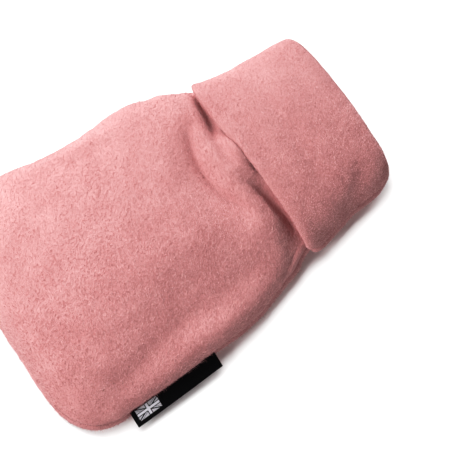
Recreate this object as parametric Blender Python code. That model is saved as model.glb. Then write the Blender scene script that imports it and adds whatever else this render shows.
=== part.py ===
"""Fleece hot water bottle cover, lying on its back with its polo neck turned down.

Metres. The neck points along +Y, the woven side label is on the +X side and +Z is up,
out of the cover's front. The origin is on the flat underside of the back panel, where
the cover rests.

The cover is a bag of two cut panels. Each panel is one sheet of cloth that runs from
the base seam over the body, up inside the neck, round the fold at the mouth and down
again on the outside as the collar, to its turned-in hem. A place on a panel is given
by u, which goes from -1 at the left side seam to +1 at the right one, and by a row of
the cloth's path from the base seam to the hem.
"""

import math
from typing import NamedTuple

import bmesh
import bpy
import numpy as np

MM = 0.001

# Cloth and seams.
CLOTH = 2.8 * MM
HEM_CLOTH = 4.4 * MM
HEM_DEPTH = 11 * MM
LAYER_GAP = 2.4 * MM
FOLD_GAP = 5.2 * MM
SEAM_GAP = 0.55 * MM

# The woven label: a ribbon folded lengthwise, whose open edges meet the side seam.
RIBBON = 0.7 * MM
RIBBON_GAP = 0.4 * MM
LABEL_NECK_END = 4.5 * MM
LABEL_BASE_END = -73 * MM
LABEL_WIDTH = 13.5 * MM
LABEL_DROOP = 6.5 * MM
LABEL_CLEARANCE = 1.0 * MM

# Places along Y: the cloth is drawn in below the hem, and the collar's two layers ease
# apart towards the fold.
BASE = -116 * MM
SHOULDER = 66 * MM
TUCK_START = 88 * MM
TUCK_END = 108 * MM
HEM = 112 * MM
NECK = 122 * MM
EASE_START = 185 * MM
FOLD = 213 * MM
FOLD_RADIUS = (CLOTH + FOLD_GAP) / 2
TURN_START = FOLD - CLOTH / 2 - FOLD_RADIUS

# Rounding of the base: the corners in plan, and the swell of front and back.
CORNER_ACROSS = 48 * MM
CORNER_ALONG = 38 * MM
FRONT_END = 36 * MM
BACK_END = 13 * MM
CORNER_ROUNDNESS = 2.4
END_ROUNDNESS = 2.2

# Creases: points along each, how they fade at their ends and towards the seams.
CREASE_STEPS = 81
CREASE_FADE = 0.9
SIDE_FADE = 0.08
BASE_FADE = 12 * MM
RIDGE_END = 108 * MM
RIDGE_EASE = 9 * MM

# Finishes.
FLEECE_COLOUR = (0.66, 0.29, 0.29)
FLEECE_ROUGHNESS = 0.95
RIBBON_COLOUR = (0.012, 0.012, 0.014)
RIBBON_ROUGHNESS = 0.6


class Section(NamedTuple):
    """Outermost skin of the cover at one place along its length, in millimetres.

    A side's power is that of its half oval: 2 is an ellipse, more is boxier.
    """

    y: float
    left: float
    right: float
    seam: float
    crown: float
    under: float
    front_power: float
    back_power: float


SECTIONS = (
    Section(y=-116, left=-112, right=105, seam=13, crown=40, under=-2, front_power=2.4, back_power=4.5),
    Section(y=-75, left=-112, right=105, seam=15, crown=44, under=-3, front_power=2.4, back_power=4.5),
    Section(y=-48, left=-111, right=104.5, seam=16.5, crown=46, under=-3, front_power=2.4, back_power=4.5),
    Section(y=-18, left=-106, right=103.5, seam=17.5, crown=47, under=-3, front_power=2.4, back_power=4.5),
    Section(y=5, left=-104.5, right=102.5, seam=18, crown=47, under=-3, front_power=2.4, back_power=4.5),
    Section(y=28, left=-105, right=102, seam=18, crown=46, under=-3, front_power=2.4, back_power=4.5),
    Section(y=50, left=-107, right=99, seam=18, crown=44.5, under=-3, front_power=2.4, back_power=4.5),
    Section(y=66, left=-105, right=94.5, seam=18.5, crown=43, under=-3, front_power=2.5, back_power=4.5),
    Section(y=82, left=-99.5, right=89.5, seam=19, crown=42.5, under=-3, front_power=2.7, back_power=4.0),
    Section(y=97, left=-95.2, right=86.5, seam=20, crown=43, under=-3, front_power=3.0, back_power=4.0),
    Section(y=110, left=-92.5, right=83.5, seam=21, crown=43.5, under=-3, front_power=3.1, back_power=3.4),
    Section(y=123, left=-85.5, right=79.5, seam=21, crown=43.5, under=-3, front_power=2.9, back_power=3.4),
    Section(y=136, left=-83.8, right=78, seam=21, crown=44.5, under=-3, front_power=2.7, back_power=3.4),
    Section(y=148, left=-83, right=75.5, seam=21, crown=45, under=-3, front_power=2.6, back_power=3.4),
    Section(y=160, left=-82.6, right=73, seam=21, crown=44.5, under=-3, front_power=2.6, back_power=3.4),
    Section(y=175, left=-82.7, right=71.5, seam=20, crown=42.5, under=-3, front_power=2.6, back_power=3.4),
    Section(y=190, left=-82.5, right=69, seam=19.5, crown=39.5, under=-3, front_power=2.8, back_power=3.4),
    Section(y=202, left=-81.8, right=61.5, seam=19, crown=36.5, under=-2, front_power=3.0, back_power=3.4),
    Section(y=213, left=-80, right=49, seam=18, crown=33, under=-1, front_power=3.2, back_power=3.4),
)


class EdgePoint(NamedTuple):
    """How far an edge of the collar lies from its straight line, in millimetres, at u."""

    u: float
    shift: float


FOLD_LINE = (
    EdgePoint(u=-1.0, shift=-2.5),
    EdgePoint(u=-0.6, shift=0),
    EdgePoint(u=-0.2, shift=0.5),
    EdgePoint(u=0.2, shift=-1),
    EdgePoint(u=0.45, shift=-3.5),
    EdgePoint(u=0.7, shift=-5),
    EdgePoint(u=1.0, shift=-7.5),
)

FRONT_HEM_LINE = (
    EdgePoint(u=-1.0, shift=9),
    EdgePoint(u=-0.8, shift=2),
    EdgePoint(u=-0.6, shift=-1),
    EdgePoint(u=-0.28, shift=-2.5),
    EdgePoint(u=-0.1, shift=-1.5),
    EdgePoint(u=0.05, shift=0),
    EdgePoint(u=0.25, shift=-1),
    EdgePoint(u=0.5, shift=-2),
    EdgePoint(u=0.75, shift=-3.5),
    EdgePoint(u=0.9, shift=-2),
    EdgePoint(u=1.0, shift=3.5),
)

BACK_HEM_LINE = (
    EdgePoint(u=-1.0, shift=9),
    EdgePoint(u=-0.7, shift=8),
    EdgePoint(u=-0.45, shift=3),
    EdgePoint(u=0.0, shift=2),
    EdgePoint(u=0.45, shift=3),
    EdgePoint(u=0.7, shift=8),
    EdgePoint(u=1.0, shift=3.5),
)


class Crease(NamedTuple):
    """A soft ridge or trough of the front panel, along a curve with three guide points.

    The points and the half-width are millimetres in plan. The height is how far the
    cloth stands out, or is pressed in where it is negative.
    """

    name: str
    start: tuple
    middle: tuple
    end: tuple
    height: float
    half_width: float


BODY_CREASES = (
    Crease("neck trough", (-58, 94), (-17, 63), (38, 90), -6.0, 5),
    Crease("slope below the neck", (-66, 92), (-14, 56), (46, 84), -4.4, 12),
    Crease("far neck ridge", (-66, 106), (-30, 87), (4, 92), 2.6, 5.5),
    Crease("near neck ridge", (-30, 90), (8, 98), (60, 87), 2.6, 6.5),
    Crease("middle roll", (-38, 120), (-16, 110), (12, 95), 5.4, 9),
    Crease("roll against the hem", (-44, 112), (-14, 107), (20, 104), 3.4, 6),
    Crease("far hollow", (-94, 114), (-61, 114), (-28, 99), -6.8, 5),
    Crease("near hollow, shallow", (12, 101), (32, 111), (84, 112), -3.0, 6.5),
    Crease("near hollow, deep", (16, 106), (54, 115), (84, 111), -7.0, 7.5),
    Crease("near shoulder", (50, 108), (80, 101), (97, 80), -5.0, 10),
    Crease("near trough, low", (92, -96), (84, -40), (74, 22), -2.6, 10),
    Crease("near trough, high", (82, -26), (77, 40), (66, 108), -2.8, 11),
    Crease("near dimple", (74, -54), (54, 12), (60, 76), -4.2, 20),
    Crease("near rim", (103, -96), (99, 0), (92, 64), 3.8, 7),
    Crease("base trough", (-54, -78), (14, -85), (70, -76), -2.4, 10),
    Crease("base rim", (-70, -101), (0, -106), (64, -101), 2.0, 9),
    Crease("far rim", (-93, -62), (-89, 0), (-86, 80), 2.0, 7),
    Crease("far flat edge", (-103, -55), (-97, 0), (-101, 62), -2.5, 6),
)

COLLAR_CREASES = (
    Crease("collar trough", (-74, 157), (0, 154), (70, 150), -2.2, 10),
    Crease("collar roll", (-60, 132), (0, 134), (58, 128), 0.8, 13),
    Crease("hem over the roll", (-46, 117), (-14, 114), (16, 114), 1.3, 8),
    Crease("far dent", (-70, 192), (-40, 182), (-8, 190), -1.2, 8),
    Crease("near dent", (50, 186), (66, 168), (72, 140), -1.6, 6),
)


def smooth_step(value):
    """Ease from 0 to 1 while the value goes from 0 to 1."""
    held = np.clip(value, 0.0, 1.0)
    return held * held * (3.0 - 2.0 * held)


def through_table(places, values, at):
    """Read a smooth curve through a table's rows, level at both of its ends."""
    places = np.asarray(places)
    values = np.asarray(values)
    slopes = np.gradient(values, places)
    slopes[0] = slopes[-1] = 0.0
    held = np.clip(at, places[0], places[-1])
    row = np.clip(np.searchsorted(places, held) - 1, 0, len(places) - 2)
    span = places[row + 1] - places[row]
    part = (held - places[row]) / span
    start_weight = (1 + 2 * part) * (1 - part) ** 2
    end_weight = part ** 2 * (3 - 2 * part)
    start_bend = part * (1 - part) ** 2 * span
    end_bend = part ** 2 * (part - 1) * span
    return (
        values[row] * start_weight
        + values[row + 1] * end_weight
        + slopes[row] * start_bend
        + slopes[row + 1] * end_bend
    )


def section_column(column, y):
    """Read one column of the section table at y, as the table gives it."""
    places = [section.y for section in SECTIONS]
    values = [getattr(section, column) for section in SECTIONS]
    return through_table(places, values, y / MM)


def section_size(column, y):
    """Read one column of the section table at y, in metres."""
    return section_column(column, y) * MM


def edge_shift(line, u):
    """Read how far a collar edge is shifted along Y at u, in metres."""
    return through_table([point.u for point in line], [point.shift for point in line], u) * MM


def rounded_rise(distance, length, roundness):
    """Rise from 0 to 1 along a rounded end of the given length."""
    left_over = 1.0 - np.clip(distance / length, 0.0, 1.0)
    return (1.0 - left_over ** roundness) ** (1.0 / roundness)


def crease_height(creases, x, y):
    """Add up the creases at plan places x, y: each is a soft line that fades at its ends."""
    total = np.zeros_like(x)
    along = np.linspace(0.0, 1.0, CREASE_STEPS)
    for crease in creases:
        start, middle, end = (np.array(p) * MM for p in (crease.start, crease.middle, crease.end))
        nearest = np.full_like(x, np.inf)
        fade = np.zeros_like(x)
        for part in along:
            spot = start * (1 - part) ** 2 + middle * 2 * part * (1 - part) + end * part ** 2
            away = np.hypot(x - spot[0], y - spot[1])
            closer = away < nearest
            nearest = np.where(closer, away, nearest)
            strength = max(math.sin(math.pi * part), 0.0) ** CREASE_FADE
            fade = np.where(closer, strength, fade)
        total += crease.height * MM * fade * np.exp(-((nearest / (crease.half_width * MM)) ** 2))
    return total


def skin(u, y, inset, is_front):
    """Points of the cover's outer skin, moved inwards by inset, as an array of xyz."""
    from_base = y - BASE - inset
    corner = rounded_rise(from_base, CORNER_ALONG, CORNER_ROUNDNESS)
    left = section_size("left", y)
    right = section_size("right", y)
    seam = section_size("seam", y)
    half = (right - left) / 2 - inset - CORNER_ACROSS * (1.0 - corner)
    power = section_column("front_power" if is_front else "back_power", y)
    turn = np.sin(u * math.pi / 2)
    across = turn if is_front else np.sign(turn) * np.abs(turn) ** (2.0 / power)
    upright = np.clip(1.0 - np.abs(across) ** power, 0.0, 1.0) ** (1.0 / power)
    x = (left + right) / 2 + half * across
    if is_front:
        swell = rounded_rise(from_base, FRONT_END, END_ROUNDNESS)
        height = (section_size("crown", y) - seam - inset) * swell
        z = seam + SEAM_GAP / 2 + height * upright
    else:
        swell = rounded_rise(from_base, BACK_END, END_ROUNDNESS)
        depth = (seam - section_size("under", y) - inset) * swell
        z = np.maximum(seam - SEAM_GAP / 2 - depth * upright, inset)
    return np.stack(np.broadcast_arrays(x, y, z), axis=-1)


def tuck(y):
    """How far the cloth is drawn in under the collar, from 0 on the body to 1."""
    return smooth_step((y - TUCK_START) / (TUCK_END - TUCK_START))


def layer_gap(y):
    """Gap between the neck and the collar: it opens towards the soft fold."""
    ease = smooth_step((y - EASE_START) / (TURN_START - EASE_START))
    return LAYER_GAP + (FOLD_GAP - LAYER_GAP) * ease


class PathRow(NamedTuple):
    """One row of a panel: where it lies and how thick the cloth is there."""

    y: float
    inset: float
    fold_share: float
    hem_share: float
    thickness: float


class Detail(NamedTuple):
    """Steps that a panel is divided into: across it, then along each stretch of its path."""

    across: int
    base: int
    body: int
    shoulder: int
    neck: int
    turn: int
    collar: int
    hem: int


FRONT_DETAIL = Detail(across=36, base=6, body=12, shoulder=14, neck=5, turn=6, collar=8, hem=3)
BACK_DETAIL = Detail(across=28, base=4, body=6, shoulder=7, neck=6, turn=6, collar=7, hem=3)


def body_rows(detail):
    """Rows from the base seam over the body and up inside the neck."""
    places = [
        BASE + CLOTH / 2 + FRONT_END * (1 - math.cos(math.pi / 2 * step / detail.base))
        for step in range(detail.base)
    ]
    places += list(np.linspace(BASE + FRONT_END, SHOULDER, detail.body + 1))
    places += list(np.linspace(SHOULDER, NECK, detail.shoulder + 1))[1:]
    places += list(np.linspace(NECK, TURN_START, detail.neck + 1))[1:]
    rows = []
    for y in places:
        inset = CLOTH / 2 + (CLOTH + float(layer_gap(y))) * float(tuck(y))
        fold_share = float(smooth_step((y - NECK) / (TURN_START - NECK)))
        rows.append(PathRow(y, inset, fold_share, 0.0, CLOTH))
    return rows


def turn_rows(detail):
    """Rows round the fold at the mouth, from inside the neck to the outside."""
    rows = []
    for step in range(1, detail.turn):
        angle = math.pi * step / detail.turn
        y = TURN_START + FOLD_RADIUS * math.sin(angle)
        inset = CLOTH / 2 + FOLD_RADIUS * (1 + math.cos(angle))
        rows.append(PathRow(y, inset, 1.0, 0.0, CLOTH))
    return rows


def collar_rows(detail):
    """Rows of the collar, from the fold down to its turned-in hem."""
    hem_top = HEM + HEM_DEPTH
    places = list(np.linspace(TURN_START, hem_top, detail.collar + 1))
    places += list(np.linspace(hem_top, HEM, detail.hem + 1))[1:]
    rows = []
    for y in places:
        fall = (TURN_START - y) / (TURN_START - HEM)
        swell = float(smooth_step(2 * (hem_top - y) / HEM_DEPTH))
        thickness = CLOTH + (HEM_CLOTH - CLOTH) * swell
        rows.append(PathRow(y, thickness / 2, 1.0 - fall, fall, thickness))
    return rows


def panel_sheet(detail, is_front):
    """Middle surface, outward direction and thickness of a panel, as grids of points."""
    rows = body_rows(detail) + turn_rows(detail) + collar_rows(detail)
    u = np.linspace(-1.0, 1.0, detail.across + 1)[None, :]
    y, inset, fold_share, hem_share, thickness = (
        np.array([getattr(row, field) for row in rows])[:, None] for field in PathRow._fields
    )
    hem_line = FRONT_HEM_LINE if is_front else BACK_HEM_LINE
    places = y + fold_share * edge_shift(FOLD_LINE, u) + hem_share * edge_shift(hem_line, u)
    middle = skin(u, places, inset, is_front)
    outward = outward_directions(middle, is_front)
    if is_front:
        middle = middle + outward * creases_on(middle, rows)[..., None]
        outward = outward_directions(middle, is_front)
    return middle, outward, np.broadcast_to(thickness, places.shape)


def creases_on(middle, rows):
    """How far the front panel's creases move it along its face; they fade out at its seams.

    The neck under the collar takes the collar's creases, and on the collar the cloth's
    face points down, so there they are turned over.
    """
    turned = np.array([row.hem_share > 0 for row in rows])[:, None]
    x = middle[..., 0]
    y = middle[..., 1]
    body = crease_height(BODY_CREASES, x, y)
    collar = crease_height(COLLAR_CREASES, x, y)
    under_collar = smooth_step((y - HEM) / (NECK - HEM))
    ridge_left = smooth_step((RIDGE_END - y) / RIDGE_EASE)
    body = np.where(body > 0, body * ridge_left, body * (1 - under_collar))
    from_side = 1.0 - np.abs(np.linspace(-1.0, 1.0, x.shape[1]))[None, :]
    edge = smooth_step(from_side / SIDE_FADE) * smooth_step((y - BASE) / BASE_FADE)
    return np.where(turned, -collar, body + collar * under_collar) * edge


def outward_directions(middle, is_front):
    """Unit directions out of the cloth's face; level along the seams."""
    along = np.gradient(middle, axis=0)
    across = np.gradient(middle, axis=1)
    outward = np.cross(across, along)
    if not is_front:
        outward = -outward
    outward[0, :, 2] = 0.0
    outward[:, 0, 2] = 0.0
    outward[:, -1, 2] = 0.0
    return outward / np.linalg.norm(outward, axis=-1, keepdims=True)


def label_sheet(columns, steps, turn_steps):
    """Middle surface, outward direction and thickness of the folded ribbon."""
    radius = (RIBBON + RIBBON_GAP) / 2
    run = LABEL_WIDTH - RIBBON / 2 - radius
    away = list(np.linspace(0.0, run, steps + 1))
    lift = [radius] * len(away)
    for step in range(1, turn_steps):
        angle = math.pi * step / turn_steps
        away.append(run + radius * math.sin(angle))
        lift.append(radius * math.cos(angle))
    away += list(np.linspace(run, 0.0, steps + 1))
    lift += [-radius] * (steps + 1)
    away = np.array(away)[:, None]
    lift = np.array(lift)[:, None]
    y = np.linspace(LABEL_NECK_END, LABEL_BASE_END, columns + 1)[None, :]
    slope = math.asin(LABEL_DROOP / LABEL_WIDTH)
    x = section_size("right", y) + LABEL_CLEARANCE + away * math.cos(slope) + lift * math.sin(slope)
    z = section_size("seam", y) - away * math.sin(slope) + lift * math.cos(slope)
    middle = np.stack(np.broadcast_arrays(x, y, z), axis=-1)
    outward = np.cross(np.gradient(middle, axis=1), np.gradient(middle, axis=0))
    outward /= np.linalg.norm(outward, axis=-1, keepdims=True)
    return middle, outward, np.full(middle.shape[:2], RIBBON)


def sheet_solid(name, middle, outward, thickness):
    """Make one closed solid of a sheet: a grid of faces, extruded, with both skins placed."""
    last_row, last_column = middle.shape[0] - 1, middle.shape[1] - 1
    model = bmesh.new()
    bmesh.ops.create_grid(model, x_segments=last_column, y_segments=last_row, size=1.0)
    inner = list(model.verts)
    raised = bmesh.ops.extrude_face_region(model, geom=list(model.faces), use_keep_orig=True)
    outer = [item for item in raised["geom"] if isinstance(item, bmesh.types.BMVert)]
    for verts, side in ((inner, -0.5), (outer, 0.5)):
        for vert in verts:
            spot = round((vert.co.y + 1) / 2 * last_row), round((vert.co.x + 1) / 2 * last_column)
            vert.co = middle[spot] + outward[spot] * (thickness[spot] * side)
    bmesh.ops.recalc_face_normals(model, faces=list(model.faces))
    if model.calc_volume(signed=True) < 0:
        bmesh.ops.reverse_faces(model, faces=list(model.faces))
    mesh = bpy.data.meshes.new(name)
    model.to_mesh(mesh)
    model.free()
    mesh.shade_smooth()
    piece = bpy.data.objects.new(name, mesh)
    bpy.context.collection.objects.link(piece)
    return piece


def finish(name, colour, roughness):
    """A plain finish in the cloth's colour."""
    material = bpy.data.materials.new(name)
    material.use_nodes = True
    shader = material.node_tree.nodes["Principled BSDF"]
    shader.inputs["Base Color"].default_value = (*colour, 1.0)
    shader.inputs["Roughness"].default_value = roughness
    shader.inputs["Metallic"].default_value = 0.0
    return material


def main():
    """Build the cover."""
    for old in list(bpy.data.objects):
        bpy.data.objects.remove(old, do_unlink=True)
    fleece = finish("fleece", FLEECE_COLOUR, FLEECE_ROUGHNESS)
    ribbon = finish("woven ribbon", RIBBON_COLOUR, RIBBON_ROUGHNESS)
    cover = bpy.data.objects.new("cover", None)
    bpy.context.collection.objects.link(cover)
    for name, sheet, material in (
        ("front_panel", panel_sheet(FRONT_DETAIL, is_front=True), fleece),
        ("back_panel", panel_sheet(BACK_DETAIL, is_front=False), fleece),
        ("side_label", label_sheet(columns=10, steps=3, turn_steps=6), ribbon),
    ):
        piece = sheet_solid(name, *sheet)
        piece.data.materials.append(material)
        piece.parent = cover


if __name__ == "__main__":
    main()
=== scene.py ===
"""Looks of the fleece hot water bottle cover: its cloth, pile, label, light and camera.

The cover lies on its back with its polo neck turned down. Metres, +Z up, the neck
along +Y and the woven label on the +X side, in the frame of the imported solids. Each
solid is replaced by cloth that follows the same sections, edges and creases more finely.

A place on a panel is given by u, from -1 at the left side seam to +1 at the right one,
and by a row of the cloth's path, which runs from the base seam over the body, up inside
the neck, round the fold at the mouth and down again as the collar, to its hem.
"""

import logging
import math
from dataclasses import dataclass
from enum import Enum
from typing import Any

import bmesh
import bpy
import numpy as np
from mathutils import Matrix, Vector


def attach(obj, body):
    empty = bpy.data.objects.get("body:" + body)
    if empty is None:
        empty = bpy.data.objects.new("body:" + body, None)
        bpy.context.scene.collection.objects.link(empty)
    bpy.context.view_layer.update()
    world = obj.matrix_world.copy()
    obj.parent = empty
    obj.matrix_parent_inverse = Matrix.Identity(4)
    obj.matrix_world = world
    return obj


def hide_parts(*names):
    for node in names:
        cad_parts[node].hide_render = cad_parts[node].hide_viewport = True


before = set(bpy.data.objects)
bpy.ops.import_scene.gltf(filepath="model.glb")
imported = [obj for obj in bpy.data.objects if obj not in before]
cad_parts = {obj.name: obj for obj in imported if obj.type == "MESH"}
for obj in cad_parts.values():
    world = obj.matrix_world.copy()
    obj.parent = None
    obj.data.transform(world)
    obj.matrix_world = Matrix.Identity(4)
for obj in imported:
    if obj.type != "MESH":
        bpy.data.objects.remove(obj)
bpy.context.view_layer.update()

log = logging.getLogger("cover")

MM = 0.001

# A crease is followed at this many points of its curve. It fades out at its ends by this
# power, and reaches this many half-widths to its sides.
CREASE_STEPS = 81
CREASE_FADE = 0.9
CREASE_REACH = 3.0

# Beside its seams a panel's columns and rows stand at these distances, in millimetres.
# The fibres keep this many cells away from the side seams and the base.
SEAM_STEPS = (0.0, 0.5, 1.0, 1.6, 2.3, 3.1, 4.1, 5.3)
BARE_STEPS = 4
# Painted shade darkens the cloth within about this distance of its seams.
SEAM_SHADE_WIDTH = 1.3 * MM

# Numbers that a mesh carries at its vertices, for its material to read.
SEAM_SHADE = "seam_shade"
# Painted shade laid into the body's hollows, carried at each vertex.
CREASE_SHADE = "crease_shade"
TONE = "tone"

# The painted shade colour, a deep red, laid into the body's hollows where shade falls, and the tint of
# the nap's sheen.
CREASE_SHADE_COLOUR = (0.55, 0.165, 0.17)
SHEEN_TINT = (1.0, 0.84, 0.89, 1.0)


class Side(Enum):
    """The half of the cover that a panel makes."""

    FRONT = "front"
    BACK = "back"


class ClothFace(Enum):
    """The two faces of the fleece, as the way that each one looks out of its sheet."""

    NAPPED = 1
    REVERSE = -1


# ---------------------------------------------------------------------------
# Numbers and curves
# ---------------------------------------------------------------------------


def smooth_step(value: Any) -> Any:
    """Ease from 0 to 1 while the value goes from 0 to 1."""
    held = np.clip(value, 0.0, 1.0)
    return held * held * (3.0 - 2.0 * held)


def through_table(places: Any, values: Any, at: Any) -> Any:
    """Read a smooth curve through a table's rows, level at both of its ends.

    Args:
        places: Where the rows stand, rising.
        values: What the rows say there.
        at: Where to read the curve.

    Returns:
        The curve's value at each place asked for.
    """
    places = np.asarray(places, float)
    values = np.asarray(values, float)
    slopes = np.gradient(values, places)
    slopes[0] = slopes[-1] = 0.0
    held = np.clip(at, places[0], places[-1])
    row = np.clip(np.searchsorted(places, held) - 1, 0, len(places) - 2)
    span = places[row + 1] - places[row]
    part = (held - places[row]) / span
    start_weight = (1 + 2 * part) * (1 - part) ** 2
    end_weight = part ** 2 * (3 - 2 * part)
    start_bend = part * (1 - part) ** 2 * span
    end_bend = part ** 2 * (part - 1) * span
    return (
        values[row] * start_weight
        + values[row + 1] * end_weight
        + slopes[row] * start_bend
        + slopes[row + 1] * end_bend
    )


def unit(vectors: np.ndarray) -> np.ndarray:
    """Scale vectors to a length of one."""
    return vectors / np.linalg.norm(vectors, axis=-1, keepdims=True)


@dataclass(frozen=True)
class Unevenness:
    """A smooth random field between -1 and 1, whose hills and dips are a wave apart.

    It is read from a turned lattice of random values, each a part of the wave from the next.
    """

    wave: float
    seed: int
    lattice: int = 48
    part_of_wave: float = 0.6

    def at(self, points: np.ndarray) -> np.ndarray:
        """Read the field.

        Args:
            points: Places, as an array whose last axis is xyz.

        Returns:
            The field's value at each place.
        """
        rng = np.random.default_rng(self.seed)
        values = rng.uniform(-1.0, 1.0, (self.lattice,) * 3)
        turn = np.linalg.qr(rng.normal(size=(3, 3)))[0]
        turned = points @ turn / (self.wave * self.part_of_wave)
        corner = np.floor(turned).astype(int)
        part = smooth_step(turned - corner)
        total = np.zeros(points.shape[:-1])
        for step in np.ndindex(2, 2, 2):
            weight = np.prod(np.where(np.array(step) == 1, part, 1.0 - part), axis=-1)
            x, y, z = np.moveaxis((corner + step) % self.lattice, -1, 0)
            total += weight * values[x, y, z]
        return total


# ---------------------------------------------------------------------------
# Meshes
# ---------------------------------------------------------------------------


def put_up(name: str, data: Any) -> bpy.types.Object:
    """Put something into the scene.

    Args:
        name: Its name.
        data: Its mesh, light or camera.

    Returns:
        The object.
    """
    made = bpy.data.objects.new(name, data)
    bpy.context.collection.objects.link(made)
    return made


def read_all(items: Any, field: str, kind: type = int, width: int = 1) -> np.ndarray:
    """Read one field of all vertices, loops or faces of a mesh.

    Args:
        items: The vertices, loops or faces.
        field: The field's name.
        kind: The kind of number that it holds.
        width: How many of them it holds.

    Returns:
        The numbers, with a row for each item where there are several.
    """
    flat = np.empty(len(items) * width, kind)
    items.foreach_get(field, flat)
    return flat.reshape(-1, width) if width > 1 else flat


def mark(mesh: bpy.types.Mesh, name: str, values: np.ndarray) -> None:
    """Have a mesh carry one number at each vertex, for its material to read."""
    mesh.attributes.new(name, "FLOAT", "POINT").data.foreach_set("value", values)


# ---------------------------------------------------------------------------
# The cover's form
# ---------------------------------------------------------------------------


@dataclass(frozen=True)
class Section:
    """Outermost skin of the cover at one place along its length, in millimetres.

    A side's power is that of its half oval: 2 is an ellipse, more is boxier. The table's
    rows give the fields in this order.
    """

    y: float
    left: float
    right: float
    seam: float
    crown: float
    under: float
    front_power: float
    back_power: float


SECTIONS = tuple(
    Section(*row)
    for row in (
        (-116, -112, 105, 13, 40, -2, 2.4, 4.5),
        (-75, -112, 105, 15, 44, -3, 2.4, 4.5),
        (-48, -111, 104.5, 16.5, 46, -3, 2.4, 4.5),
        (-18, -106, 103.5, 17.5, 47, -3, 2.4, 4.5),
        (5, -104.5, 102.5, 18, 47, -3, 2.4, 4.5),
        (28, -105, 102, 18, 46, -3, 2.4, 4.5),
        (50, -107, 99, 18, 44.5, -3, 2.4, 4.5),
        (66, -105, 94.5, 18.5, 43, -3, 2.5, 4.5),
        (82, -99.5, 89.5, 19, 42.5, -3, 2.7, 4.0),
        (97, -95.2, 86.5, 20, 43, -3, 3.0, 4.0),
        (110, -92.5, 83.5, 21, 43.5, -3, 3.1, 3.4),
        (123, -85.5, 79.5, 21, 43.5, -3, 2.9, 3.4),
        (136, -83.8, 78, 21, 44.5, -3, 2.7, 3.4),
        (148, -83, 75.5, 21, 45, -3, 2.6, 3.4),
        (160, -82.6, 73, 21, 44.5, -3, 2.6, 3.4),
        (175, -82.7, 71.5, 20, 42.5, -3, 2.6, 3.4),
        (190, -82.5, 69, 19.5, 39.5, -3, 2.8, 3.4),
        (202, -81.8, 61.5, 19, 36.5, -2, 3.0, 3.4),
        (213, -80, 49, 18, 33, -1, 3.2, 3.4),
    )
)


@dataclass(frozen=True)
class EdgePoint:
    """How far an edge of the collar lies from its straight line, in millimetres, at u."""

    u: float
    shift: float


FOLD_LINE = tuple(
    EdgePoint(*point)
    for point in (
        (-1.0, -2.5), (-0.6, 0), (-0.2, 0.5), (0.2, -1), (0.45, -3.5), (0.7, -5), (1.0, -7.5),
    )
)

FRONT_HEM_LINE = tuple(
    EdgePoint(*point)
    for point in (
        (-1.0, 9), (-0.8, 2), (-0.6, -1), (-0.28, -2.5), (-0.1, -1.5), (0.05, 0), (0.25, -1),
        (0.5, -2), (0.75, -3.5), (0.9, -2), (1.0, 3.5),
    )
)

BACK_HEM_LINE = tuple(
    EdgePoint(*point)
    for point in (
        (-1.0, 9), (-0.7, 8), (-0.45, 3), (0.0, 2), (0.45, 3), (0.7, 8), (1.0, 3.5),
    )
)


@dataclass(frozen=True)
class Crease:
    """A soft ridge or trough of the front panel, along a curve with three guide points.

    The points and the half-width are millimetres in plan. The height is how far the
    cloth stands out, or is pressed in where it is negative. The crease shade, from 0 to 1,
    is how strongly painted shade, a deep red, is laid into the cloth along the crease.
    """

    name: str
    start: tuple[float, float]
    middle: tuple[float, float]
    end: tuple[float, float]
    height: float
    half_width: float
    crease_shade: float = 0.0

    def height_at(self, x: np.ndarray, y: np.ndarray) -> np.ndarray:
        """Work out how far this crease moves the cloth.

        Args:
            x: Plan places across the cover.
            y: Plan places along the cover.

        Returns:
            The crease's height at each place: it fades out at its two ends.
        """
        guides = (self.start, self.middle, self.end)
        start, middle, end = (np.array(guide) * MM for guide in guides)
        reach = self.half_width * MM * CREASE_REACH
        low = np.minimum(np.minimum(start, middle), end) - reach
        high = np.maximum(np.maximum(start, middle), end) + reach
        near = (x > low[0]) & (x < high[0]) & (y > low[1]) & (y < high[1])
        nearest = np.full(near.sum(), np.inf)
        fade = np.zeros(near.sum())
        for part in np.linspace(0.0, 1.0, CREASE_STEPS):
            spot = start * (1 - part) ** 2 + middle * 2 * part * (1 - part) + end * part ** 2
            away = np.hypot(x[near] - spot[0], y[near] - spot[1])
            strength = max(math.sin(math.pi * part), 0.0) ** CREASE_FADE
            fade = np.where(away < nearest, strength, fade)
            nearest = np.minimum(away, nearest)
        total = np.zeros_like(x)
        total[near] = self.height * MM * fade * np.exp(-((nearest / (self.half_width * MM)) ** 2))
        return total


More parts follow.
